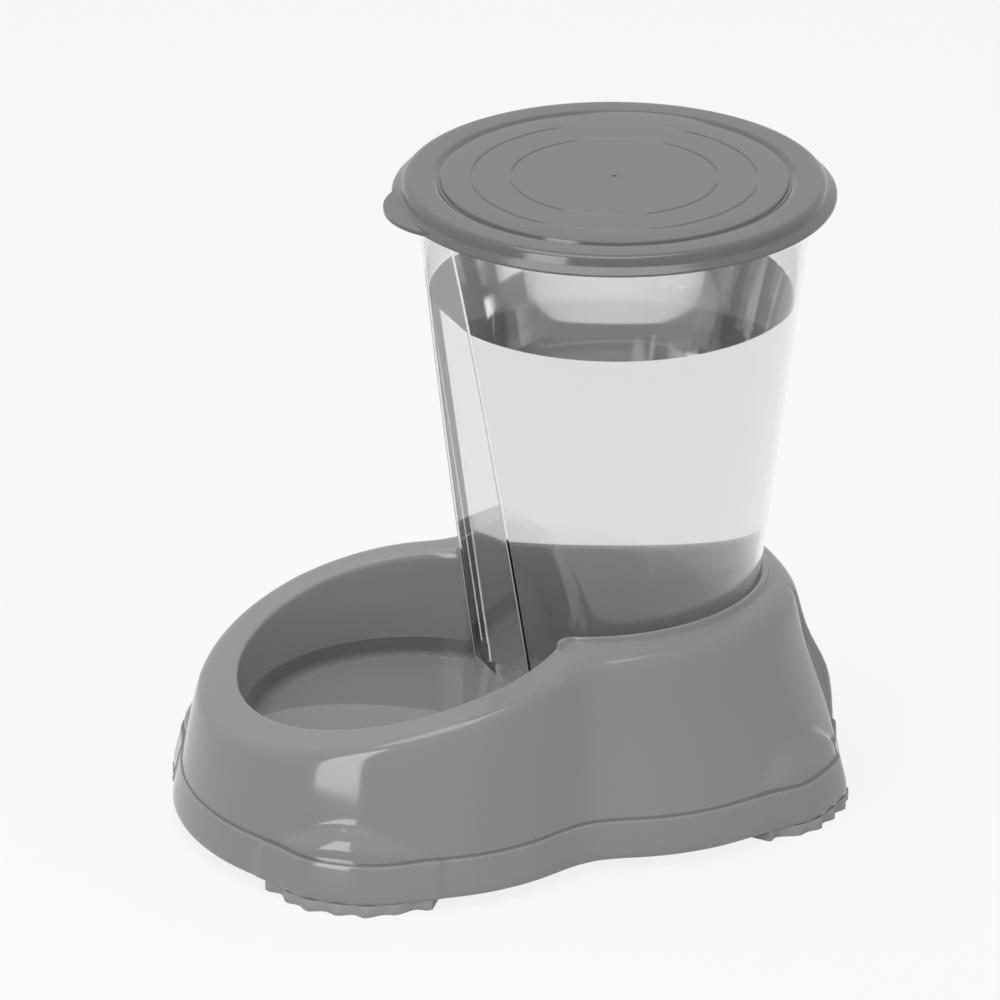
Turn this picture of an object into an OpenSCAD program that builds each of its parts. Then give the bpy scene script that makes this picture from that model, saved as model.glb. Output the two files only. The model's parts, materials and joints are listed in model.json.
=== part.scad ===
// Gravity water dispenser for pets, three-litre class. A two-lobed moulded
// base holds a bowl in front and a socket behind. A clear tapered tank with a
// flat front stands in the socket, under a pressed-on lid. Four soft feet with
// scalloped edges sit under the corners of the skirt.

/* [Base plan] */
// Radius of the front lobe at the foot of the skirt
front_r = 97; // [92:0.5:104]
// Radius of the rear lobe at the foot of the skirt
rear_r = 100; // [96:0.5:106]
// Distance from the middle of the bowl to the axis of the tank
lobe_gap = 94; // [88:0.5:98]
// How softly the two lobes flow together at the waist of the skirt
waist_blend = 16; // [8:1:28]
// Wall of the moulding
wall = 2.4; // [1.8:0.1:3.2]

/* [Base heights] */
// Height of the bowl's floor, which the tank stands on
floor_h = 29; // [26:0.5:36]
// Height of the rim behind the tank, where it is highest
rim_high = 88; // [84:0.5:94]
// Height of the rim at the front tip of the bowl
rim_front = 59; // [54:0.5:66]
// Distance from the tank's axis back to the highest point of the rim
rim_crest = 34; // [20:1:45]
// Height of the groove between the skirt and the wall
skirt_h = 20.7; // [17:0.1:24]
// Step from the skirt in to the wall at that groove
skirt_step = 0.9; // [0.5:0.1:1.5]
// How far the skirt leans in over its own height
skirt_lean = 3.5; // [1.5:0.1:4.5]
// How far the front lobe's wall flares out towards the skirt (1 is straight)
front_flare = 0.85; // [0.7:0.05:1.5]
// How far the rear lobe's wall flares out towards the skirt
rear_flare = 1.15; // [0.8:0.05:1.6]

/* [Bowl and socket] */
// Half the width of the bowl's opening
bowl_a = 65.7; // [60:0.1:68]
// Half the length of the bowl's opening
bowl_b = 69.4; // [64:0.1:72]
// How far the bowl's wall comes in from its rim to its floor
bowl_draft = 5; // [3:0.5:8]
// Fillet between the walls and the floor
floor_fillet = 5; // [3:0.5:7]
// Width of the bowl's lip at the sides
lip_side = 16.5; // [13:0.5:19]
// Width of the bowl's lip at the front
lip_front = 17.5; // [14:0.5:20]
// Drop of the lip's rounded outer edge
lip_drop = 5; // [3:0.5:8]
// Width of that rounded edge
lip_round = 6; // [4:0.5:9]
// Rounding of the two pillars between the bowl and the socket
pillar_round = 3; // [1:0.5:6]
// Height of the collar round the tank above the rim
collar_h = 2.4; // [1.5:0.1:4]
// Width of that collar
collar_w = 2.6; // [2:0.1:4]
// Clearance between the collar and the tank
socket_clear = 0.5; // [0.4:0.05:1]
// How far the socket's wall comes in from the collar to the floor
socket_draft = 1.5; // [0.5:0.1:3]
// Width of the rear lobe's rounded shoulder
shoulder_w = 14; // [10:0.5:18]
// Drop of the rear lobe's rounded shoulder
shoulder_drop = 12.5; // [9:0.5:18]

/* [Corners] */
// How far the front corners swell out from the skirt
front_bulge = 5.5; // [2:0.5:7]
// How far the rear corners swell out from the skirt
rear_bulge = 6.5; // [2:0.5:9]
// Where the front corners begin, in degrees behind the front
front_from = 28; // [24:1:34]
// Where the front corners end
front_to = 75; // [70:1:80]
// Where the rear corners begin, in degrees ahead of the rear
rear_from = 37; // [34:1:42]
// Where the rear corners end
rear_to = 76; // [70:1:80]
// Degrees over which a front corner swells out
front_blend = 14; // [8:1:18]
// Degrees over which a rear corner swells out
rear_blend = 9; // [6:1:14]
// Step in the skirt at the two ends of a corner
shield_step = 0.8; // [0.4:0.1:1.4]
// Height of the arched ledge over the middle of each corner
ledge_h = 35; // [31:0.5:37]
// Height over which that ledge slopes out
ledge_round = 9; // [5:0.5:10]
// How much fuller a corner is at its ledge than at the skirt
ledge_plumb = 1; // [0:0.1:3]

/* [Flat back] */
// Distance from the tank's axis to the foot of the flat back
back_reach = 84.5; // [80:0.5:90]
// Half the width of the panel on the flat back
panel_w = 46; // [38:1:50]
// How far that panel stands out from the flat back
panel_out = 4; // [2:0.5:6]
// Height at which the flat back begins to slope inwards
back_h = 44; // [38:1:50]
// How far the flat back leans in below that height
back_lean = 2; // [0:0.5:4]
// Height at which the slope ends
slope_h = 68; // [60:1:72]
// How far the slope leads inwards
slope_in = 12; // [8:0.5:14]

/* [Feet] */
// Height of the soft feet under the skirt
foot_h = 4.8; // [4:0.1:7]
// How far the feet stand out from the corners
foot_out = 0.9; // [0.3:0.1:3]
// Width of a foot's sole
foot_w = 16; // [10:1:22]
// Number of scallops along a foot's edge
scallops = 7; // [4:1:10]
// Depth of the scallops
scallop_depth = 2.2; // [1:0.1:3]
// Height of the tongue that holds a foot inside the skirt
tongue_h = 8; // [5:0.5:12]
// Thickness of that tongue
tongue_w = 2.5; // [1.5:0.1:4]
// Gap between the tongue and the skirt
tongue_clear = 0.4; // [0.3:0.05:0.8]

/* [Tank] */
// Outer radius of the tank at its top
tank_top_r = 81.5; // [79:0.1:83]
// Outer radius of the tank at its foot
tank_foot_r = 55.4; // [53:0.1:58]
// Height of the tank
tank_h = 232.8; // [200:0.1:250]
// Wall of the tank
tank_wall = 2; // [1.5:0.1:3]
// Floor of the tank
tank_floor = 2.4; // [1.8:0.1:4]
// How deep the flat front cuts into the round at the top
flat_cut_top = 0.9; // [0.3:0.1:4]
// How deep the flat front cuts into the round at the foot
flat_cut_foot = 9.2; // [5:0.1:13]
// Reach of the bead round the tank's mouth
bead_w = 0.8; // [0.4:0.1:2]
// Height of that bead
bead_t = 2; // [1.5:0.1:3]
// Width of the outlet at the foot of the flat front
outlet_w = 36; // [24:1:46]
// Height of the outlet's top over the bowl's floor: the water's level there
outlet_h = 16; // [9:0.5:18]
// Rounding of the outlet's upper corners
outlet_round = 4; // [2:0.5:6]

/* [Lid] */
// How far the lid's lower edge reaches beyond the tank's wall
lid_over = 8.5; // [7:0.1:11]
// Height of the lid's outer rim
lid_h = 6.8; // [6:0.1:10]
// Thickness of the lid
lid_wall = 1.6; // [1.2:0.1:2.4]
// Width of the rounded edge, side and lip outside the rim's crest
lid_side = 7.4; // [6:0.1:10]
// Width of the lip outside the side wall's foot
lid_lip = 3.6; // [2:0.1:5]
// How far the panel inside the lid's groove stays within the tank's wall
panel_in = 11.5; // [9.5:0.5:14]
// Depth of that groove
groove_deep = 1.3; // [0.5:0.1:1.6]
// From the panel's edge in to the outer ring scored in it
ring_outer_in = 12; // [6:0.5:14]
// From that ring in to the inner ring
ring_inner_in = 16; // [10:0.5:24]
// Depth of those rings
ring_deep = 0.4; // [0.2:0.1:0.8]
// Gap between the lid and the tank's mouth
lid_clear = 0.3; // [0.25:0.05:0.6]
// Depth of the ring that plugs into the tank's mouth
plug_h = 4.5; // [3:0.5:7]
// Thickness of that ring
plug_w = 1.4; // [1:0.1:2]
// How far the grip tab stands out from the lid
tab_reach = 6; // [3:0.5:9]
// Half the width of the grip tab
tab_half = 23; // [15:1:30]
// Thickness of the grip tab
tab_t = 1.6; // [1.2:0.1:2.4]
// Direction of the grip tab, in degrees from the right side
tab_angle = -97; // [-180:1:180]

/* [Hidden] */

grey = [0.62, 0.62, 0.61];
sole_grey = [0.5, 0.5, 0.49];
clear = [0.85, 0.9, 0.93, 0.4];

flat_top = tank_top_r - flat_cut_top;
flat_foot = tank_foot_r - flat_cut_foot;
lid_r = tank_top_r + lid_over;
panel_r = tank_top_r - panel_in;
ring_outer_r = panel_r - ring_outer_in;
ring_inner_r = ring_outer_r - ring_inner_in;
whole_l = front_r + lobe_gap + max(back_reach, lid_r);
bowl_y = front_r - whole_l / 2;
tank_y = bowl_y + lobe_gap;
waist_y = (bowl_y + tank_y) / 2;
skirt_in = skirt_lean + skirt_step;

tank_slope = (tank_top_r - tank_foot_r) / tank_h;
flat_lean = atan((flat_top - flat_foot) / tank_h);
tank_top = floor_h + tank_h;
socket_r = tank_foot_r + tank_slope * (rim_high + collar_h - floor_h) + socket_clear;
lid_z = tank_top + lid_clear + lid_wall - lid_h;

// The rim's height at y: a parabola from its crest down to the bowl's front tip
function rim_z(y) =
    let (crest = tank_y + rim_crest, tip = bowl_y - bowl_b)
    rim_high - (rim_high - rim_front) * pow(min(y - crest, 0) / (tip - crest), 2);

// All plan outlines are radii seen from the waist, at angle p from the right
// side. An ellipse of half axes a and b stands at distance c behind the waist.
function ray(p, c, a, b) =
    let (k = pow(cos(p) / a, 2) + pow(sin(p) / b, 2), m = c * sin(p) / (b * b))
    (m + sqrt(m * m - k * (c * c / (b * b) - 1))) / k;
function soft_max(a, b, k) = max(a, b) + pow(max(k - abs(a - b), 0), 2) / (4 * k);
function lobes(p, fa, fb, rr, k) =
    soft_max(ray(p, bowl_y - waist_y, fa, fb), ray(p, tank_y - waist_y, rr, rr), k);
function opening_r(p, draft_f, draft_r) =
    lobes(p, bowl_a - draft_f, bowl_b - draft_f, socket_r - draft_r, pillar_round);
function skirt_r(p) = lobes(p, front_r, front_r, rear_r, waist_blend);
function shoulder_r(p) =
    lobes(p, bowl_a + lip_side, bowl_b + lip_front,
          socket_r + collar_w + shoulder_w, waist_blend);

// From 0 on the front lobe to 1 on the rear lobe, across the waist
function rearness(p) = let (t = min(max((p + 12) / 40, 0), 1)) t * t * (3 - 2 * t);

// A corner as seen from its lobe's centre, where 0 degrees is the right side
function lobe_angle(p, c) = atan2(skirt_r(p) * sin(p) + waist_y - c, skirt_r(p) * cos(p));
function smooth(t) = let (u = min(max(t, 0), 1)) u * u * (3 - 2 * u);
function swell_of(t, from, to, blend) =
    smooth((t - from - end_inset) / blend) * smooth((to - end_inset - t) / blend);
function corner(p, blend_f, blend_r) =
    p < 0 ? swell_of(lobe_angle(p, bowl_y), front_from - 90, front_to - 90, blend_f)
          : swell_of(lobe_angle(p, tank_y), 90 - rear_to, 90 - rear_from, blend_r);
function swell(p) = corner(p, front_blend, rear_blend);
function arch(p) = corner(p, (front_to - front_from) / 2 - end_inset, rear_blend);
function bulge(p) = (p < 0 ? front_bulge : rear_bulge) * swell(p);
function shield(p) =
    (p > front_a && p < front_b) || (p > rear_a && p < rear_b) ? shield_step : 0;

// The flat back at height z: its distance behind the middle, then its radius
function back_face(z) =
    tank_y + back_reach
    - back_lean * (min(z, back_h) - foot_h) / (back_h - foot_h)
    - slope_in * min(max(z - back_h, 0) / (slope_h - back_h), 1);
function back_r(p, z, off) = (back_face(z) - off - waist_y) / max(sin(p), 0.2);
function cut_back(p, z, r) =
    p < 30 ? r
    : p < panel_a ? -soft_max(-r, -back_r(p, z, panel_out), back_blend)
    : z < slope_h ? back_r(p, z, 0) : min(r, back_r(p, z, 0));

// The outer wall at height z, with the corner ledges and the flat back, and
// the skirt at a given lean
function plain_wall(p, z) =
    let (rs = shoulder_r(p), zs = shoulder_z(p), rw = skirt_r(p) - skirt_in)
    let (flare = front_flare + (rear_flare - front_flare) * rearness(p))
    rs + (rw - rs) * pow(min(max((zs - z) / (zs - skirt_h), 0), 1), flare);
function ledge_top(p) = skirt_h + ledge_ends + (ledge_h - skirt_h - ledge_ends) * arch(p);
function ledge_drop(p) = ledge_round * (ledge_thin + (1 - ledge_thin) * arch(p));
function wall_r(p, z) =
    let (low = ledge_top(p) - ledge_drop(p), t = min(max((z - low) / ledge_drop(p), 0), 1),
         up = min((z - skirt_h) / (low - skirt_h), 1))
    cut_back(p, z, plain_wall(p, z) + (bulge(p) + up * ledge_plumb * swell(p)) * (1 - t * t));
function skirt_edge(p, z, lean) = cut_back(p, z, skirt_r(p) + bulge(p) + shield(p) - lean);
function shoulder_z(p) =
    rim_z(waist_y + shoulder_r(p) * sin(p)) - lip_drop
    - (shoulder_drop - lip_drop) * rearness(p);

// One section of the moulding from the middle of its underside, round the
// skirt and over the rim, to the middle of its floor, as [radius, height]
function under_rows(p) =
    let (rf = opening_r(p, bowl_draft, socket_draft) - floor_fillet,
         ro = opening_r(p, 0, 0), ze = rim_z(waist_y + ro * sin(p)), zs = shoulder_z(p),
         low = ledge_h + 2, mid = (zs - wall + low) / 2)
    [[rf, floor_h - wall],
     [opening_r(p, bowl_draft, socket_draft) + wall, floor_h + floor_fillet],
     [ro + wall, ze - 2.5 * wall],
     [shoulder_r(p) - wall - lip_round / 2, zs - wall],
     [wall_r(p, mid) - wall, mid],
     [wall_r(p, low) - wall, low],
     [wall_r(p, skirt_h + 1) - wall - inner_step, skirt_h + 1],
     [skirt_edge(p, foot_h, wall), foot_h]];
function skirt_rows(p) =
    let (mid = (foot_h + skirt_h) / 2)
    [[skirt_edge(p, foot_h, 0.5), foot_h], [skirt_edge(p, foot_h + 0.9, 0), foot_h + 0.9],
     [skirt_edge(p, mid, skirt_lean / 2), mid],
     [skirt_edge(p, skirt_h - 0.8, skirt_lean), skirt_h - 0.8],
     [skirt_edge(p, skirt_h - 0.1, skirt_lean + skirt_step / 4), skirt_h - 0.1],
     [skirt_edge(p, skirt_h + 0.1, skirt_in + shield(p)), skirt_h + 0.1]];
function wall_rows(p) =
    let (zs = shoulder_z(p), low = ledge_top(p) + 1.5)
    concat([for (t = [1:-0.2:0]) let (z = ledge_top(p) - ledge_drop(p) * t) [wall_r(p, z), z]],
           [for (t = [0:0.2:0.99]) let (z = low + (zs - low) * t) [wall_r(p, z), z]]);
function rim_rows(p) =
    let (rs = shoulder_r(p), ro = opening_r(p, 0, 0), t = rearness(p),
         w = lip_round + (shoulder_w - lip_round) * t,
         drop = lip_drop + (shoulder_drop - lip_drop) * t,
         up = p > pillar_angle + 1 ? collar_h : 0,
         inner = ro + collar_w, y_of = function(r) waist_y + r * sin(p))
    concat([for (a = [18:18:90])
                let (r0 = rs - w * (1 - cos(a)), z = rim_z(y_of(r0)) - drop * (1 - sin(a)))
                [cut_back(p, max(z, slope_h), r0), z]],
           [[inner + 0.5, rim_z(y_of(inner)) + 0.2],
            [inner, rim_z(y_of(inner)) + 0.4 + up * 0.7],
            [inner - 0.6, rim_z(y_of(inner)) + 0.5 + up],
            [ro + 0.6, rim_z(y_of(ro)) + 0.3 + up],
            [ro, rim_z(y_of(ro)) - 0.5 + up]]);
function floor_rows(p) =
    let (ro = opening_r(p, 0, 0), rf = opening_r(p, bowl_draft, socket_draft),
         ze = rim_z(waist_y + ro * sin(p)) - 3)
    concat([for (t = [0, 0.5]) [ro + (rf - ro) * (0.1 + 0.8 * t), ze + (floor_h - ze) * t * 0.9]],
           [for (a = [0:30:90])
                [rf - floor_fillet * (1 - cos(a)), floor_h + floor_fillet * (1 - sin(a))]]);
function section(p) =
    concat(under_rows(p), skirt_rows(p), wall_rows(p), rim_rows(p), floor_rows(p));

// The angles at which the section is taken, from the front over the right side
// to the rear, closer together at the ends of the corners and of the panel
pillar_angle = atan2(2 - waist_y, 45);
function waist_angle(c, r, t) = atan2(c + r * sin(t) - waist_y, r * cos(t));
function steps(a, b, n) = [for (i = [0:n]) a + (b - a) * i / n];
edge = 0.15;
inner_step = 0.6;
ledge_ends = 4.3;
ledge_thin = 0.35;
foot_inset = 1.6;
foot_tuck = 1;
end_inset = 3;
back_blend = 5;
front_a = waist_angle(bowl_y, front_r, front_from - 90);
front_b = waist_angle(bowl_y, front_r, front_to - 90);
rear_a = waist_angle(tank_y, rear_r, 90 - rear_to);
rear_b = waist_angle(tank_y, rear_r, 90 - rear_from);
panel_a = atan2(tank_y + back_reach - waist_y, panel_w);
right_angles = concat(
    steps(-90, front_a - edge, 5), steps(front_a + edge, front_b - edge, 13),
    steps(front_b + edge, pillar_angle - 1, 12), steps(pillar_angle + 0.9, pillar_angle + 1.1, 1),
    steps(pillar_angle + 3, rear_a - edge, 8), steps(rear_a + edge, rear_b - edge, 12),
    steps(rear_b + edge, panel_a - edge, 7), steps(panel_a + edge, 90, 5));
half = len(right_angles);
angles = concat(right_angles, [for (i = [half - 2:-1:1]) 180 - right_angles[i]]);

module base() color(grey) {
    sections = [for (p = angles) section(p > 90 ? 180 - p : p)];
    n = len(sections[0]);
    m = len(angles);
    points = concat(
        [[0, waist_y, floor_h - wall]],
        [for (i = [0:m - 1]) for (q = sections[i])
            [q[0] * cos(angles[i]), waist_y + q[0] * sin(angles[i]), q[1]]],
        [[0, waist_y, floor_h]]);
    faces = concat(
        [for (i = [0:m - 1]) let (a = 1 + i * n, b = 1 + (i + 1) % m * n)
            [0, a, b]],
        [for (i = [0:m - 1]) let (a = 1 + i * n, b = 1 + (i + 1) % m * n)
            for (j = [0:n - 2]) each [[a + j, a + j + 1, b + j + 1], [a + j, b + j + 1, b + j]]],
        [for (i = [0:m - 1]) let (a = i * n + n, b = (i + 1) % m * n + n)
            [1 + m * n, b, a]]);
    polyhedron(points, faces, convexity = 8);
}

// A solid of the tank's form, everywhere smaller by off, from height z0 up
module tank_form(off, z0) {
    intersection() {
        rotate_extrude($fn = 128)
            polygon([[0, z0], [tank_foot_r + tank_slope * z0 - off, z0],
                     [tank_top_r - off + tank_slope, tank_h + 1], [0, tank_h + 1]]);
        translate([0, -(flat_foot - off / cos(flat_lean)), 0])
            rotate([flat_lean, 0, 0])
                translate([-tank_top_r - 1, 0, -tank_h / 2])
                    cube([2 * tank_top_r + 2, 2 * tank_top_r + tank_h, 2 * tank_h]);
    }
}

module outlet_form() {
    straight = outlet_w - 2 * outlet_round;
    side_h = outlet_h - outlet_round - tank_floor;
    translate([0, -flat_foot / 2, tank_floor])
        rotate([90, 0, 0])
            linear_extrude(flat_foot)
                union() {
                    translate([-outlet_w / 2, 0]) square([outlet_w, side_h]);
                    translate([-straight / 2, 0]) square([straight, side_h + outlet_round]);
                    for (s = [-1, 1])
                        translate([s * straight / 2, side_h]) circle(outlet_round, $fn = 32);
                }
}

module tank() color(clear) translate([0, tank_y, floor_h]) {
    difference() {
        union() {
            intersection() {
                tank_form(0, 0);
                translate([0, 0, tank_h / 2]) cube([4 * lid_r, 4 * lid_r, tank_h], center = true);
            }
            translate([0, 0, tank_h - bead_t])
                cylinder(h = bead_t, r = tank_top_r + bead_w, $fn = 128);
        }
        tank_form(tank_wall, tank_floor);
        outlet_form();
    }
}

// The lid turned about its axis, drawn from its lower edge at z = 0
module lid_shell() {
    crest = lid_r - lid_side;
    side = lid_r - lid_lip;
    groove = lid_h - groove_deep;
    under = lid_h - lid_wall - ring_deep;
    seat = lid_h - lid_wall;
    plug_r = flat_top - tank_wall / cos(flat_lean) - tan(flat_lean) * plug_h - lid_clear;
    plug_low = seat - lid_clear - plug_h;
    bead_r = tank_top_r + bead_w + lid_clear;
    rotate_extrude($fn = 144)
        polygon(concat(
            [[0, lid_h]],
            [for (r = [ring_inner_r, ring_outer_r])
                each [[r - 0.6, lid_h], [r, lid_h - ring_deep], [r + 0.6, lid_h]]],
            [[panel_r - 0.4, lid_h], [panel_r + 0.3, lid_h - 0.3], [panel_r + 0.8, groove],
             [panel_r + 1.6, groove], [panel_r + 3.4, lid_h - 0.3], [panel_r + 4.4, lid_h],
             [crest, lid_h], [crest + 1.5, lid_h - 0.25], [crest + 2.6, lid_h - 0.9],
             [crest + 3.1, lid_h - 1.8], [side, 2.8], [side + 0.8, 2.2], [lid_r - 1.2, 1.6],
             [lid_r, 0.8], [lid_r, 0], [lid_r - 1.4, 0], [side, 0.8], [side - 1.2, 1.6],
             [side - 1.7, 2.6], [bead_r, seat - 0.3], [bead_r - 0.4, seat],
             [plug_r, seat], [plug_r, plug_low], [plug_r - plug_w, plug_low],
             [plug_r - plug_w, groove - lid_wall], [panel_r - 1, groove - lid_wall],
             [panel_r - 2, under], [0, under]]));
}

module grip_tab() {
    sagitta = lid_r - sqrt(lid_r * lid_r - tab_half * tab_half) + tab_reach;
    r = (tab_half * tab_half + sagitta * sagitta) / (2 * sagitta);
    difference() {
        translate([lid_r + tab_reach - r, 0, 0]) cylinder(h = tab_t, r = r, $fn = 96);
        translate([0, 0, -1]) cylinder(h = tab_t + 2, r = lid_r - 1.5, $fn = 144);
    }
}

module lid() color(grey) translate([0, tank_y, lid_z]) {
    lid_shell();
    rotate([0, 0, tab_angle]) grip_tab();
}

// A strip that follows a corner between two angles, from radius r0 to r1 of
// the functions given, seen from the waist
module strip(p0, p1, n, inner, outer) {
    ps = steps(p0, p1, n);
    polygon(concat([for (p = ps) [cos(p), sin(p)] * outer(p)],
                   [for (i = [n:-1:0]) [cos(ps[i]), sin(ps[i])] * inner(ps[i])]));
}

module foot(p0, p1) {
    n = scallops * 6;
    edge_r = function(p) skirt_edge(p, foot_h, foot_tuck) + (foot_out + foot_tuck) * swell(p)
        - scallop_depth * (0.5 + 0.5 * cos(360 * scallops * (p - p0) / (p1 - p0)));
    sole_r = function(p) skirt_edge(p, foot_h, foot_w);
    lean = (skirt_in + inner_step + shield_step) / (skirt_h + 1 - foot_h);
    tongue_r = function(p) skirt_edge(p, foot_h, wall + tongue_clear + lean * tongue_h);
    tongue_in = function(p) tongue_r(p) - tongue_w;
    translate([0, waist_y, 0]) {
        linear_extrude(foot_h) strip(p0 + foot_inset, p1 - foot_inset, n, sole_r, edge_r);
        translate([0, 0, foot_h - 0.5])
            linear_extrude(tongue_h + 0.5)
                strip(p0 + foot_inset + 1, p1 - foot_inset - 1, 14, tongue_in, tongue_r);
    }
}

module foot_front_right() color(sole_grey) foot(front_a, front_b);
module foot_rear_right() color(sole_grey) foot(rear_a, rear_b);
module foot_front_left() mirror([1, 0, 0]) foot_front_right();
module foot_rear_left() mirror([1, 0, 0]) foot_rear_right();

base();
tank();
lid();
foot_front_left();
foot_front_right();
foot_rear_left();
foot_rear_right();
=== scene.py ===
# Looks of a gravity water dispenser for pets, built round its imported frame.
import json
import math

import bmesh
import bpy
from mathutils import Matrix, Vector

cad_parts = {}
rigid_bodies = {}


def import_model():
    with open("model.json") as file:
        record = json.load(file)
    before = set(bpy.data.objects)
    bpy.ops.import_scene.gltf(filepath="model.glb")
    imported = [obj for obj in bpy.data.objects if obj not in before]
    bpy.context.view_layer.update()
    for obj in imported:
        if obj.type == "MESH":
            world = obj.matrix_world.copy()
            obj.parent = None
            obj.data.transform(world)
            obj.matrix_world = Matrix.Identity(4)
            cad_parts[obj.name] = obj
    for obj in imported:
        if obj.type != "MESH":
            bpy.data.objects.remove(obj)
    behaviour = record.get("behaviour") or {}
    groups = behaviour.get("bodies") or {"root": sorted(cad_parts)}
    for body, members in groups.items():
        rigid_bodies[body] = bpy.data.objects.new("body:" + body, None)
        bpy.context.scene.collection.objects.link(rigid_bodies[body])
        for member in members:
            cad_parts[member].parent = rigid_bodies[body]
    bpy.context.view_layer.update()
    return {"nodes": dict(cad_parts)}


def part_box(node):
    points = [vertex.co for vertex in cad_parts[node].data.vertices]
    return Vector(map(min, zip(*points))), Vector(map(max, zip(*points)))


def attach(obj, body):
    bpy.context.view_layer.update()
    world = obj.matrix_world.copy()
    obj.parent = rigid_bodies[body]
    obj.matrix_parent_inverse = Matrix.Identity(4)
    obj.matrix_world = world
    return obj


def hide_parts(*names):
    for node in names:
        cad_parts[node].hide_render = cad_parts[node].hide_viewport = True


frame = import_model()
standing, lifting = "dispenser", "lid_body"
print("frame loaded:", sorted(frame["nodes"]))

tankLow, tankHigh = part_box("tank")
lidLow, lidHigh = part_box("lid")
bowlAhead, skirtTop = 0.094, 0.0207         # tank's axis to bowl's middle; top of the skirt
tankY = (tankLow.y + tankHigh.y) / 2        # axis of the tank and of its lid
bowlY = tankY - bowlAhead                   # middle of the bowl
tankAxis = Matrix.Translation((0, tankY, 0))


# Small helpers for meshes
def newPiece(name, bm, body, material, smoothAngle=35):
    mesh = bpy.data.meshes.new(name)
    bmesh.ops.recalc_face_normals(bm, faces=bm.faces)
    bm.to_mesh(mesh)
    bm.free()
    for face in mesh.polygons:
        face.use_smooth = True
    mesh.set_sharp_from_angle(angle=math.radians(smoothAngle))
    piece = bpy.data.objects.new(name, mesh)
    bpy.context.scene.collection.objects.link(piece)
    piece.data.materials.append(material)
    if body:
        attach(piece, body)
    return piece


def looseForm(bm):                          # a helper solid that another one is cut with
    mesh = bpy.data.meshes.new("form")
    bmesh.ops.recalc_face_normals(bm, faces=bm.faces)
    bm.to_mesh(mesh)
    bm.free()
    form = bpy.data.objects.new("form", mesh)
    bpy.context.scene.collection.objects.link(form)
    return form


def combine(first, others, operation):      # the forms are used up, the result is a bmesh
    for other in others:
        step = first.modifiers.new("combine", "BOOLEAN")
        step.operation, step.solver, step.object = operation, "EXACT", other
    bpy.context.view_layer.update()
    mesh = bpy.data.meshes.new_from_object(
        first.evaluated_get(bpy.context.evaluated_depsgraph_get()))
    bm = bmesh.new()
    bm.from_mesh(mesh)
    for form in [first, *others]:
        bpy.data.objects.remove(form)
    return bm


def nodeCopy(node, mergeDistance=2e-5):
    bm = bmesh.new()
    bm.from_mesh(frame["nodes"][node].data)
    bmesh.ops.remove_doubles(bm, verts=bm.verts, dist=mergeDistance)
    return bm


def roundEdges(piece, width, segments, angle):
    bevel = piece.modifiers.new("roundEdges", "BEVEL")
    bevel.width, bevel.segments, bevel.limit_method = width, segments, "ANGLE"
    bevel.angle_limit = math.radians(angle)
    bevel.harden_normals = True


def spinProfile(points, steps, axis):       # points are (radius, height) pairs
    bm = bmesh.new()
    verts = [bm.verts.new((r, 0, z)) for r, z in points]
    edges = [bm.edges.new(pair) for pair in zip(verts, verts[1:])]
    bmesh.ops.spin(bm, geom=verts + edges, axis=(0, 0, 1), cent=(0, 0, 0),
                   steps=steps, angle=math.tau, use_merge=True)
    bmesh.ops.remove_doubles(bm, verts=bm.verts, dist=1e-6)
    bmesh.ops.transform(bm, matrix=axis, verts=bm.verts)
    return bm


# Materials. Each pattern is the scale and the detail of a noise. A plastic's roughness
# varies between the two shares, and light leaves a clear wall after so many bounces.
pattern = {"mottle": (26, 4), "matt": (60, 5), "wave": (22, 2), "grain": (2600, 2),
           "clearWave": (40, 1)}
clearStretch = (1, 1, 0.25)
leastRough, mostRough = 0.85, 1.2
plasticIor, plasticBounces = 1.46, 5
waterIor, waterBounces = 1.333, 12


def newMaterial(name):
    material = bpy.data.materials.new(name)
    material.use_nodes = True
    return material, material.node_tree, material.node_tree.nodes["Principled BSDF"]


def addNode(tree, kind, **settings):
    node = tree.nodes.new(kind)
    for key, value in settings.items():
        if key in node.inputs:
            node.inputs[key].default_value = value
        else:
            setattr(node, key, value)
    return node


def noiseOn(tree, scale, detail, stretch=(1, 1, 1)):
    place = addNode(tree, "ShaderNodeTexCoord")
    mapping = addNode(tree, "ShaderNodeMapping", Scale=stretch)
    noise = addNode(tree, "ShaderNodeTexNoise", Scale=scale, Detail=detail)
    tree.links.new(place.outputs["Object"], mapping.inputs["Vector"])
    tree.links.new(mapping.outputs["Vector"], noise.inputs["Vector"])
    return noise.outputs["Fac"]


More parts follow.
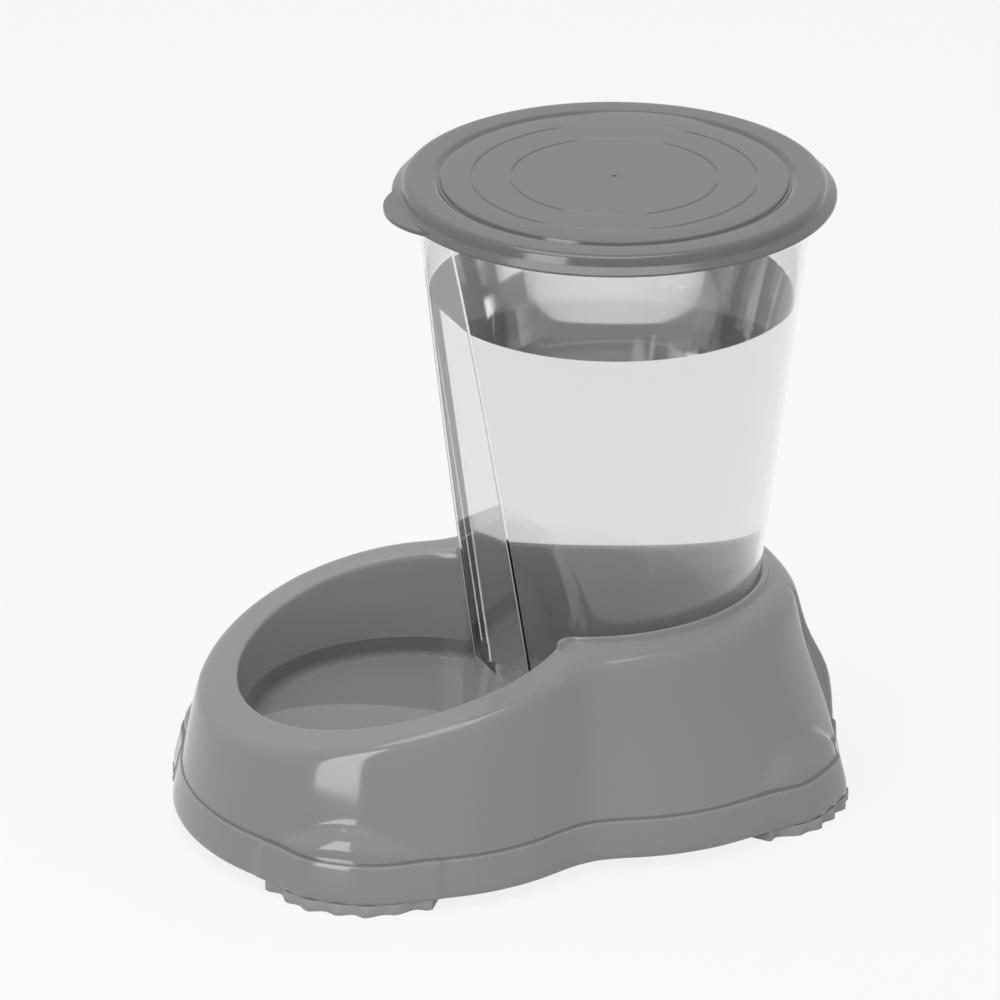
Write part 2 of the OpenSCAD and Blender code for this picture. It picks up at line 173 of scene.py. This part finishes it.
def mouldedPlastic(name, colour, mottle, roughness, grain, ripple):
    material, tree, shader = newMaterial(name)
    shader.inputs["IOR"].default_value = plasticIor
    shade = addNode(tree, "ShaderNodeMapRange")
    shade.inputs["To Min"].default_value = 1 - mottle
    shade.inputs["To Max"].default_value = 1 + mottle
    tree.links.new(noiseOn(tree, *pattern["mottle"]), shade.inputs["Value"])
    tint = addNode(tree, "ShaderNodeMix", data_type="RGBA", blend_type="MULTIPLY")
    tint.inputs["Factor"].default_value = 1
    tint.inputs["A"].default_value = (*colour, 1)
    tree.links.new(shade.outputs["Result"], tint.inputs["B"])
    tree.links.new(tint.outputs["Result"], shader.inputs["Base Color"])
    matt = addNode(tree, "ShaderNodeMapRange")
    matt.inputs["To Min"].default_value = roughness * leastRough
    matt.inputs["To Max"].default_value = roughness * mostRough
    tree.links.new(noiseOn(tree, *pattern["matt"]), matt.inputs["Value"])
    tree.links.new(matt.outputs["Result"], shader.inputs["Roughness"])
    wave = addNode(tree, "ShaderNodeBump", Strength=1.0, Distance=ripple)
    tree.links.new(noiseOn(tree, *pattern["wave"]), wave.inputs["Height"])
    fine = addNode(tree, "ShaderNodeBump", Strength=1.0, Distance=grain)
    tree.links.new(noiseOn(tree, *pattern["grain"]), fine.inputs["Height"])
    tree.links.new(wave.outputs["Normal"], fine.inputs["Normal"])
    tree.links.new(fine.outputs["Normal"], shader.inputs["Normal"])
    return material


# Painted shade: the bowl's wall below the water is darkened in the base's colour, standing for
# the light that the water keeps off it; its oval, its depth and the share of colour left
underwaterShade = {"halfWidth": 0.069, "halfLength": 0.073, "depth": 0.016, "share": 0.56,
           "darkest": (0.25, 0.97)}


# paints that shade: the colour is multiplied down inside the bowl's oval, up to the water's depth
# over the tank's foot
def paintUnderwaterShade(material):
    tree = material.node_tree
    shader = tree.nodes["Principled BSDF"]
    halfWidth, halfLength, share = underwaterShade["halfWidth"], underwaterShade["halfLength"], underwaterShade["share"]
    place = addNode(tree, "ShaderNodeTexCoord")
    inBowl = addNode(tree, "ShaderNodeMapping", Location=(0, -bowlY / halfLength, 0),
                     Scale=(1 / halfWidth, 1 / halfLength, 0))
    reach = addNode(tree, "ShaderNodeVectorMath", operation="LENGTH")
    inside = addNode(tree, "ShaderNodeMath", operation="LESS_THAN")
    inside.inputs[1].default_value = 1
    height = addNode(tree, "ShaderNodeSeparateXYZ")
    tree.links.new(place.outputs["Object"], inBowl.inputs["Vector"])
    tree.links.new(inBowl.outputs["Vector"], reach.inputs[0])
    tree.links.new(reach.outputs["Value"], inside.inputs[0])
    tree.links.new(place.outputs["Object"], height.inputs["Vector"])
    shade = addNode(tree, "ShaderNodeValToRGB")
    level = addNode(tree, "ShaderNodeMapRange")
    level.inputs["From Min"].default_value = tankLow.z
    level.inputs["From Max"].default_value = tankLow.z + underwaterShade["depth"]
    tree.links.new(height.outputs["Z"], level.inputs["Value"])
    tree.links.new(level.outputs["Result"], shade.inputs["Fac"])
    ramp = shade.color_ramp
    ramp.elements[0].position, ramp.elements[0].color = 0.0, (1, 1, 1, 1)
    ramp.elements[1].position, ramp.elements[1].color = 1.0, (1, 1, 1, 1)
    for position in underwaterShade["darkest"]:
        ramp.elements.new(position).color = (share, share, share, 1)
    waterShadeMix = addNode(tree, "ShaderNodeMix", data_type="RGBA", blend_type="MULTIPLY")
    old = shader.inputs["Base Color"].links[0].from_socket
    tree.links.new(inside.outputs[0], waterShadeMix.inputs["Factor"])
    tree.links.new(old, waterShadeMix.inputs["A"])
    tree.links.new(shade.outputs["Color"], waterShadeMix.inputs["B"])
    tree.links.new(waterShadeMix.outputs["Result"], shader.inputs["Base Color"])


# Painted shade and highlight at the skirt's step: a darker groove and a lighter edge painted in
# the colour; shares of the colour across the line
stepShading = {"reach": 0.002, "shades": ((0.2, 1.0), (0.3, 1.16), (0.44, 1.16), (0.5, 0.6),
                                       (0.68, 0.6), (0.8, 1.0))}


# paints that groove shade and edge highlight into the colour around the skirt's top
def paintStepShading(material):
    tree = material.node_tree
    shader = tree.nodes["Principled BSDF"]
    place = addNode(tree, "ShaderNodeTexCoord")
    axis = addNode(tree, "ShaderNodeSeparateXYZ")
    level = addNode(tree, "ShaderNodeMapRange")
    level.inputs["From Min"].default_value = skirtTop - stepShading["reach"]
    level.inputs["From Max"].default_value = skirtTop + stepShading["reach"]
    shade = addNode(tree, "ShaderNodeValToRGB")
    tint = addNode(tree, "ShaderNodeMix", data_type="RGBA", blend_type="MULTIPLY")
    tint.inputs["Factor"].default_value = 1
    ramp = shade.color_ramp
    ramp.elements[0].color = ramp.elements[1].color = (1, 1, 1, 1)
    for position, share in stepShading["shades"]:
        ramp.elements.new(position).color = (share, share, share, 1)
    old = shader.inputs["Base Color"].links[0].from_socket
    tree.links.new(place.outputs["Object"], axis.inputs["Vector"])
    tree.links.new(axis.outputs["Z"], level.inputs["Value"])
    tree.links.new(level.outputs["Result"], shade.inputs["Fac"])
    tree.links.new(old, tint.inputs["A"])
    tree.links.new(shade.outputs["Color"], tint.inputs["B"])
    tree.links.new(tint.outputs["Result"], shader.inputs["Base Color"])


basePlastic = mouldedPlastic("basePlastic", (0.250, 0.247, 0.240), 0.03, 0.1, 2e-6, 2e-5)
# painted shade and highlight at the skirt's step
paintStepShading(basePlastic)
# painted shade on the bowl's wall below the water
paintUnderwaterShade(basePlastic)
lidPlastic = mouldedPlastic("lidPlastic", (0.130, 0.130, 0.128), 0.03, 0.13, 2e-6, 2e-5)
softRubber = mouldedPlastic("softRubber", (0.31, 0.308, 0.30), 0.05, 0.62, 2e-5, 4e-5)


def clearMaterial(name, colour, ior, roughness, ripple, bounces):
    material, tree, shader = newMaterial(name)
    shader.inputs["Base Color"].default_value = (*colour, 1)
    shader.inputs["Transmission Weight"].default_value = 1
    shader.inputs["IOR"].default_value = ior
    shader.inputs["Roughness"].default_value = roughness
    wave = addNode(tree, "ShaderNodeBump", Strength=1.0, Distance=ripple)
    tree.links.new(noiseOn(tree, *pattern["clearWave"], clearStretch), wave.inputs["Height"])
    tree.links.new(wave.outputs["Normal"], shader.inputs["Normal"])
    path = addNode(tree, "ShaderNodeLightPath")      # light caught in a wall gets out again
    caught = addNode(tree, "ShaderNodeMath", operation="GREATER_THAN")
    caught.inputs[1].default_value = bounces
    through = addNode(tree, "ShaderNodeBsdfTransparent")
    mix = addNode(tree, "ShaderNodeMixShader")
    tree.links.new(path.outputs["Ray Depth"], caught.inputs[0])
    tree.links.new(caught.outputs[0], mix.inputs["Fac"])
    tree.links.new(shader.outputs[0], mix.inputs[1])
    tree.links.new(through.outputs[0], mix.inputs[2])
    tree.links.new(mix.outputs[0], tree.nodes["Material Output"].inputs["Surface"])
    return material


clearPlastic = clearMaterial("clearPlastic", (0.875, 0.875, 0.875), plasticIor, 0.03, 3e-5,
                             plasticBounces)
# a painted glint: the pale material of the tubes that stand for the highlight on the tank's
# polished edges
paintedGlint = mouldedPlastic("paintedGlint", (0.55, 0.55, 0.55), 0.03, 0.3, 2e-6, 2e-6)
stillWater = clearMaterial("stillWater", (0.975, 0.975, 0.975), waterIor, 0.0, 4e-6, waterBounces)
storedWater = clearMaterial("storedWater", (0.97, 0.97, 0.97), waterIor, 0.05, 4e-6, waterBounces)
print("materials made")


# Base: the frame's shell, its triangles joined to quads and rounded, with the
# skirt's step, the ends of the corners and the foot of the collar kept crisp
base = {"joinAngle": 40, "joinShape": 120, "smoothLevels": 1, "stepHalf": 0.0002,
        "levelWithin": 5e-5, "uprightFrom": 0.0005, "crispFrom": 25, "collarFrom": 0.05,
        "overStep": 0.9, "underStep": 0.5, "corner": 0.8}


def keepCrisp(bm):
    bmesh.ops.recalc_face_normals(bm, faces=bm.faces)
    crease = bm.edges.layers.float.new("crease_edge")
    limit = math.radians(base["crispFrom"])
    for edge in bm.edges:
        low, high = sorted(vert.co.z for vert in edge.verts)
        if abs(low - skirtTop) < base["stepHalf"] and high - low < base["levelWithin"]:
            edge[crease] = base["overStep"] if high > skirtTop else base["underStep"]
        elif high < skirtTop + base["stepHalf"] or low > base["collarFrom"]:
            angle = edge.calc_face_angle_signed(0)
            upright = high > low + base["uprightFrom"] and high < base["collarFrom"]
            if upright and abs(angle) > limit:
                edge[crease] = base["corner"]
            elif low > base["collarFrom"] and angle < -limit:
                edge[crease] = base["corner"]


def makeBase():
    bm = nodeCopy("base")
    limit = math.radians(base["joinAngle"])
    bmesh.ops.join_triangles(bm, faces=bm.faces, angle_face_threshold=limit,
                             angle_shape_threshold=math.radians(base["joinShape"]))
    keepCrisp(bm)
    piece = newPiece("baseShell", bm, standing, basePlastic, 180)
    smooth = piece.modifiers.new("smooth", "SUBSURF")
    smooth.levels = smooth.render_levels = base["smoothLevels"]
    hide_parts("base")
    return piece


baseShell = makeBase()
print("base made:", len(baseShell.data.polygons), "faces")

# Feet: the frame's scalloped soles with softened edges
foot = {"round": 0.0007, "segments": 3, "sharpFrom": 50, "smoothBelow": 45}
for place in ("front_left", "front_right", "rear_left", "rear_right"):
    side = "".join(word.capitalize() for word in place.split("_"))
    sole = newPiece("softFoot" + side, nodeCopy("foot_" + place), standing,
                    softRubber, foot["smoothBelow"])
    roundEdges(sole, foot["round"], foot["segments"], foot["sharpFrom"])
    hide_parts("foot_" + place)
print("feet made")

# Tank: tapered and round, with a flat front, a bead round its mouth and an outlet
tank = {"footRadius": 0.0554, "topRadius": 0.0815, "wall": 0.002, "floor": 0.0024,
        "flatFoot": 0.0462, "flatTop": 0.0806, "beadReach": 0.0008, "beadThick": 0.002,
        "outletWidth": 0.036, "outletTop": 0.016, "outletRound": 0.004, "outletSteps": 6,
        "steps": 192, "cutOver": 0.002, "edgeRound": 0.0004, "edgeSteps": 2, "sharpFrom": 50,
        "smoothBelow": 8}
tankHeight = tankHigh.z - tankLow.z
tankSlope = (tank["topRadius"] - tank["footRadius"]) / tankHeight
flatLean = math.atan((tank["flatTop"] - tank["flatFoot"]) / tankHeight)


def taperedForm(inset, low, high):          # inset from the outer wall, heights over the foot
    bm = bmesh.new()
    radii = [tank["footRadius"] + tankSlope * z - inset for z in (low, high)]
    middle = Matrix.Translation((0, tankY, tankLow.z + (low + high) / 2))
    bmesh.ops.create_cone(bm, cap_ends=True, segments=tank["steps"], radius1=radii[0],
                          radius2=radii[1], depth=high - low, matrix=middle)
    front = tankY - tank["flatFoot"] + inset / math.cos(flatLean)
    cut = bmesh.ops.bisect_plane(
        bm, geom=bm.verts[:] + bm.edges[:] + bm.faces[:], clear_outer=True,
        plane_co=(0, front, tankLow.z), plane_no=(0, -math.cos(flatLean), -math.sin(flatLean)))
    edges = [e for e in cut["geom_cut"] if isinstance(e, bmesh.types.BMEdge)]
    bmesh.ops.edgeloop_fill(bm, edges=edges)
    return bm


def outletForm():
    bm = bmesh.new()
    height = tank["outletTop"] - tank["floor"]
    size = Matrix.Diagonal((tank["outletWidth"], tank["flatFoot"], height, 1))
    place = Matrix.Translation((0, tankY - tank["flatFoot"],
                                tankLow.z + tank["floor"] + height / 2))
    bmesh.ops.create_cube(bm, size=1, matrix=place @ size)
    top, near = tankLow.z + tank["outletTop"], 1e-6
    upper = [e for e in bm.edges if all(abs(v.co.z - top) < near for v in e.verts)
             and abs(e.verts[0].co.x - e.verts[1].co.x) < near]
    bmesh.ops.bevel(bm, geom=upper, offset=tank["outletRound"], segments=tank["outletSteps"],
                    affect="EDGES", profile=0.5, material=-1)
    return bm


def letLight(piece):                        # clear: light reaches what stands behind it
    piece.visible_shadow = piece.visible_diffuse = False


def makeTank():
    outer = looseForm(taperedForm(0, 0, tankHeight))
    bead = bmesh.new()
    reach = tank["topRadius"] + tank["beadReach"]
    place = Matrix.Translation((0, tankY, tankHigh.z - tank["beadThick"] / 2))
    bmesh.ops.create_cone(bead, cap_ends=True, segments=tank["steps"], radius1=reach,
                          radius2=reach, depth=tank["beadThick"], matrix=place)
    solid = looseForm(combine(outer, [looseForm(bead)], "UNION"))
    inner = looseForm(taperedForm(tank["wall"], tank["floor"], tankHeight + tank["cutOver"]))
    bm = combine(solid, [inner, looseForm(outletForm())], "DIFFERENCE")
    piece = newPiece("clearTank", bm, standing, clearPlastic,
                     tank["smoothBelow"])
    roundEdges(piece, tank["edgeRound"], tank["edgeSteps"], tank["sharpFrom"])
    letLight(piece)
    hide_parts("tank")
    return piece


# Painted glint: thin pale tubes along the edges between the tank's flat front and its round wall
# stand for the highlight on those polished edges; heights over the foot
crease = {"radius": 0.00022, "steps": 40, "low": 0.004, "high": 0.20, "smoothBelow": 60}


def makeCreaseGlint(side):
    path = bpy.data.curves.new("crease", "CURVE")
    path.dimensions, path.bevel_depth, path.bevel_resolution = "3D", crease["radius"], 2
    line = path.splines.new("POLY")
    line.points.add(crease["steps"] - 1)
    for index, point in enumerate(line.points):
        z = crease["low"] + (crease["high"] - crease["low"]) * index / (crease["steps"] - 1)
        radius = tank["footRadius"] + tankSlope * z
        front = tank["flatFoot"] + math.tan(flatLean) * z
        point.co = (side * math.sqrt(radius ** 2 - front ** 2), tankY - front, tankLow.z + z, 1)
    wire = bpy.data.objects.new("crease", path)
    bm = bmesh.new()
    bm.from_mesh(wire.to_mesh())
    bpy.data.objects.remove(wire)
    name = "tankCreaseGlint" + ("Right" if side > 0 else "Left")
    return newPiece(name, bm, standing, paintedGlint, crease["smoothBelow"])


clearTank = makeTank()
# pale tubes along both creases: a painted glint
for side in (-1, 1):
    makeCreaseGlint(side)
print("tank made:", len(clearTank.data.polygons), "faces")

# Water: in the tank up to its level, and in the bowl up to the outlet's top
water = {"level": 0.2145, "gap": 0.00015, "sink": 0.0008, "bowlHalfWidth": 0.0635,
         "bowlHalfLength": 0.0672, "socketRadius": 0.0625, "steps": 144, "cutFrom": -0.005,
         "cutTo": 0.03, "smoothBelow": 30}


def makeTankWater():
    low = tank["floor"] + water["gap"]
    bm = taperedForm(tank["wall"] + water["gap"], low, water["level"] - tankLow.z)
    piece = newPiece("tankWater", bm, standing, storedWater,
                     tank["smoothBelow"])
    letLight(piece)
    return piece


def makeBowlWater():
    top = tankLow.z + tank["outletTop"]
    low = tankLow.z - water["sink"]
    depth, middle = top - low, (top + low) / 2
    bowl, socket = bmesh.new(), bmesh.new()
    shape = Matrix.Diagonal((water["bowlHalfWidth"], water["bowlHalfLength"], 1, 1))
    bmesh.ops.create_cone(bowl, cap_ends=True, segments=water["steps"], radius1=1, radius2=1,
                          depth=depth, matrix=Matrix.Translation((0, bowlY, middle)) @ shape)
    bmesh.ops.create_cone(socket, cap_ends=True, segments=water["steps"],
                          radius1=water["socketRadius"], radius2=water["socketRadius"],
                          depth=depth, matrix=Matrix.Translation((0, tankY, middle)))
    pool = looseForm(combine(looseForm(bowl), [looseForm(socket)], "UNION"))
    tankForm = looseForm(taperedForm(-water["gap"], water["cutFrom"], water["cutTo"]))
    bm = combine(pool, [tankForm], "DIFFERENCE")
    piece = newPiece("bowlWater", bm, standing, stillWater,
                     water["smoothBelow"])
    letLight(piece)
    return piece


tankWater, bowlWater = makeTankWater(), makeBowlWater()
print("water made")

# Lid: a turned shell with a broad ridge, a grooved panel and a grip tab
lid = {"radius": 0.090, "rimWidth": 0.0074, "rimRound": 0.0031, "rimDrop": 0.0018,
       "lip": 0.0036, "panelRadius": 0.070, "groove": 0.0013, "rings": (0.042, 0.058),
       "ringDepth": 0.0004, "ringHalf": 0.0006, "wall": 0.0016, "plugDepth": 0.0045,
       "plugWall": 0.0014, "clear": 0.0003, "tabReach": 0.006, "tabHalf": 0.023,
       "tabThick": 0.0016, "tabAngle": -97, "tabSteps": 96, "tabLap": 0.0015, "steps": 256,
       "dotRadius": 0.0011, "dotDepth": 0.0003, "edgeRound": 0.0004, "edgeSteps": 2,
       "sharpFrom": 28, "smoothBelow": 30, "cutDepth": 0.01}
lidHeight = lidHigh.z - lidLow.z


def lidProfile():                           # from the middle of the top round to its underside
    crest, side = lid["radius"] - lid["rimWidth"], lid["radius"] - lid["lip"]
    panel, groove = lid["panelRadius"], lidHeight - lid["groove"]
    seat = lidHeight - lid["wall"]
    under = seat - lid["ringDepth"]
    plug = (tank["flatTop"] - tank["wall"] / math.cos(flatLean)
            - math.tan(flatLean) * lid["plugDepth"] - lid["clear"])
    plugLow = seat - lid["clear"] - lid["plugDepth"]
    bead = tank["topRadius"] + tank["beadReach"] + lid["clear"]
    rings = [(radius + half, lidHeight - (lid["ringDepth"] if half == 0 else 0))
             for radius in lid["rings"] for half in (-lid["ringHalf"], 0, lid["ringHalf"])]
    rim = [(crest + lid["rimRound"] * math.sin(math.radians(a)),
            lidHeight - lid["rimDrop"] * (1 - math.cos(math.radians(a))))
           for a in range(0, 91, 15)]
    return [(0, lidHeight - lid["dotDepth"]), (lid["dotRadius"], lidHeight - lid["dotDepth"]),
            (lid["dotRadius"], lidHeight), *rings,
            (panel - 0.0004, lidHeight), (panel + 0.0003, lidHeight - 0.0003),
            (panel + 0.0008, groove), (panel + 0.0016, groove),
            (panel + 0.0034, lidHeight - 0.0003), (panel + 0.0044, lidHeight), *rim,
            (side, 0.0028), (side + 0.0008, 0.0022), (lid["radius"] - 0.0012, 0.0016),
            (lid["radius"], 0.0008), (lid["radius"], 0), (lid["radius"] - 0.0014, 0),
            (side, 0.0008), (side - 0.0012, 0.0016), (side - 0.0017, 0.0026),
            (bead, seat - 0.0003), (bead - 0.0004, seat), (plug, seat), (plug, plugLow),
            (plug - lid["plugWall"], plugLow), (plug - lid["plugWall"], groove - lid["wall"]),
            (panel - 0.001, groove - lid["wall"]), (panel - 0.002, under), (0, under)]


def gripTab():
    reach, half = lid["radius"] + lid["tabReach"], lid["tabHalf"]
    sagitta = reach - math.sqrt(lid["radius"] ** 2 - half ** 2)
    radius = (half ** 2 + sagitta ** 2) / (2 * sagitta)
    turn = tankAxis @ Matrix.Rotation(math.radians(lid["tabAngle"]), 4, "Z")
    disc, hole = bmesh.new(), bmesh.new()
    middle = lidLow.z + lid["tabThick"] / 2
    bmesh.ops.create_cone(disc, cap_ends=True, segments=lid["tabSteps"], radius1=radius,
                          radius2=radius, depth=lid["tabThick"],
                          matrix=turn @ Matrix.Translation((reach - radius, 0, middle)))
    inner = lid["radius"] - lid["tabLap"]
    bmesh.ops.create_cone(hole, cap_ends=True, segments=lid["steps"], radius1=inner,
                          radius2=inner, depth=lid["cutDepth"],
                          matrix=tankAxis @ Matrix.Translation((0, 0, middle)))
    return combine(looseForm(disc), [looseForm(hole)], "DIFFERENCE")


def makeLid():
    place = tankAxis @ Matrix.Translation((0, 0, lidLow.z))
    shell = looseForm(spinProfile(lidProfile(), lid["steps"], place))
    bm = combine(shell, [looseForm(gripTab())], "UNION")
    piece = newPiece("coverLid", bm, lifting, lidPlastic, lid["smoothBelow"])
    roundEdges(piece, lid["edgeRound"], lid["edgeSteps"], lid["sharpFrom"])
    flat = piece.modifiers.new("flat", "WEIGHTED_NORMAL")
    flat.keep_sharp = True
    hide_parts("lid")
    return piece


coverLid = makeLid()
print("lid made:", len(coverLid.data.polygons), "faces")

# Floor, world, lamps and camera
stageSet = {"floorHalf": 6.0, "floorShade": 0.72, "glow": 0.84, "worldSeen": 1.0,
            "worldLight": 0.42}


def seenDirectly(tree):                     # 1 for camera, mirror and see-through rays
    path = addNode(tree, "ShaderNodeLightPath")
    first = addNode(tree, "ShaderNodeMath", operation="MAXIMUM")
    both = addNode(tree, "ShaderNodeMath", operation="MAXIMUM")
    tree.links.new(path.outputs["Is Camera Ray"], first.inputs[0])
    tree.links.new(path.outputs["Is Glossy Ray"], first.inputs[1])
    tree.links.new(first.outputs[0], both.inputs[0])
    tree.links.new(path.outputs["Is Transmission Ray"], both.inputs[1])
    return both.outputs[0]


def makeStage():
    bm = bmesh.new()
    bmesh.ops.create_grid(bm, x_segments=2, y_segments=2, size=stageSet["floorHalf"])
    material, tree, shader = newMaterial("paleFloor")
    tree.nodes.remove(shader)
    matt = addNode(tree, "ShaderNodeBsdfDiffuse")
    matt.inputs["Color"].default_value = (*[stageSet["floorShade"]] * 3, 1)
    glow = addNode(tree, "ShaderNodeEmission", Strength=1.0)
    share = addNode(tree, "ShaderNodeMath", operation="MULTIPLY")
    share.inputs[1].default_value = stageSet["glow"]
    mix = addNode(tree, "ShaderNodeMixShader")
    tree.links.new(seenDirectly(tree), share.inputs[0])
    tree.links.new(share.outputs[0], mix.inputs["Fac"])
    tree.links.new(matt.outputs[0], mix.inputs[1])
    tree.links.new(glow.outputs[0], mix.inputs[2])
    tree.links.new(mix.outputs[0], tree.nodes["Material Output"].inputs["Surface"])
    floor = newPiece("floor", bm, None, material)
    world = bpy.data.worlds.new("paleStudio")
    bpy.context.scene.world = world
    world.use_nodes = True
    tree = world.node_tree
    strength = addNode(tree, "ShaderNodeMapRange")
    strength.inputs["To Min"].default_value = stageSet["worldLight"]
    strength.inputs["To Max"].default_value = stageSet["worldSeen"]
    tree.nodes["Background"].inputs["Color"].default_value = (1, 1, 1, 1)
    tree.links.new(seenDirectly(tree), strength.inputs["Value"])
    tree.links.new(strength.outputs["Result"], tree.nodes["Background"].inputs["Strength"])


def addLamp(name, place, aim, size, power):
    lamp = bpy.data.lights.new(name, "AREA")
    lamp.shape, lamp.size, lamp.size_y, lamp.energy = "RECTANGLE", *size, power
    holder = bpy.data.objects.new(name, lamp)
    bpy.context.scene.collection.objects.link(holder)
    holder.location = place
    holder.rotation_mode = "QUATERNION"
    holder.rotation_quaternion = (Vector(aim) - Vector(place)).to_track_quat("-Z", "Y")
    holder.visible_transmission = False
    return holder


camera = {"place": (2.03525, -0.91986, 1.16225), "azimuth": 65.684, "elevation": 24.823,
          "lens": 216, "sensorWidth": 36, "clipEnd": 30}


def makeCamera():
    data = bpy.data.cameras.new("photoView")
    data.lens, data.sensor_width = camera["lens"], camera["sensorWidth"]
    data.clip_end = camera["clipEnd"]
    holder = bpy.data.objects.new("photoView", data)
    bpy.context.scene.collection.objects.link(holder)
    turn, tilt = math.radians(camera["azimuth"]), math.radians(camera["elevation"])
    back = Vector((math.sin(turn) * math.cos(tilt), -math.cos(turn) * math.cos(tilt),
                   math.sin(tilt)))
    holder.location = camera["place"]
    holder.rotation_mode = "QUATERNION"
    holder.rotation_quaternion = (-back).to_track_quat("-Z", "Y")
    bpy.context.scene.camera = holder


makeStage()
tallBox = {"azimuth": 31, "distance": 1.2, "width": 0.46, "low": -0.1, "high": 1.25,
           "power": 12.5, "fillPower": 8.3}
topBox = {"place": (-0.1, -0.1, 1.9), "aim": (0, 0, 0.1), "size": (1.2, 1.2), "power": 14.5}
sideFill = {"place": (1.3, 1.0, 0.6), "aim": (0, 0, 0.08), "size": (1.2, 1.0), "power": 5}
waterGlow = {"place": (0, tankY, 0.2), "aim": (0, tankY + 0.01, 0.03), "size": (0.09, 0.09),
             "power": 0.08}                 # the light that the water leads down the tank
turn, middle = math.radians(tallBox["azimuth"]), (tallBox["low"] + tallBox["high"]) / 2
tallPlace = Vector((math.sin(turn), -math.cos(turn), 0)) * tallBox["distance"]
tallPlace.z = middle
tallSize = (tallBox["width"], tallBox["high"] - tallBox["low"])
tallLamp = addLamp("tallBox", tallPlace, (0, 0, middle), tallSize, tallBox["power"])
tallLamp.visible_diffuse = False             # only mirrored; the next lamp gives its light
frontFill = addLamp("frontFill", tallPlace, (0, 0, middle), tallSize, tallBox["fillPower"])
frontFill.visible_glossy = False
mirrored = bpy.data.collections.new("mirrored")      # the clear pieces don't mirror this lamp
for piece in bpy.context.scene.objects:
    if piece.type == "MESH" and piece not in (clearTank, tankWater, bowlWater):
        mirrored.objects.link(piece)
tallLamp.light_linking.receiver_collection = mirrored
addLamp("topBox", **topBox)
addLamp("sideFill", **sideFill).visible_glossy = False
glowLamp = addLamp("waterGlow", **waterGlow)
glowLamp.visible_glossy = glowLamp.visible_camera = False
makeCamera()
bpy.context.scene.view_settings.view_transform = "Standard"
print("stage, lamps and camera made")
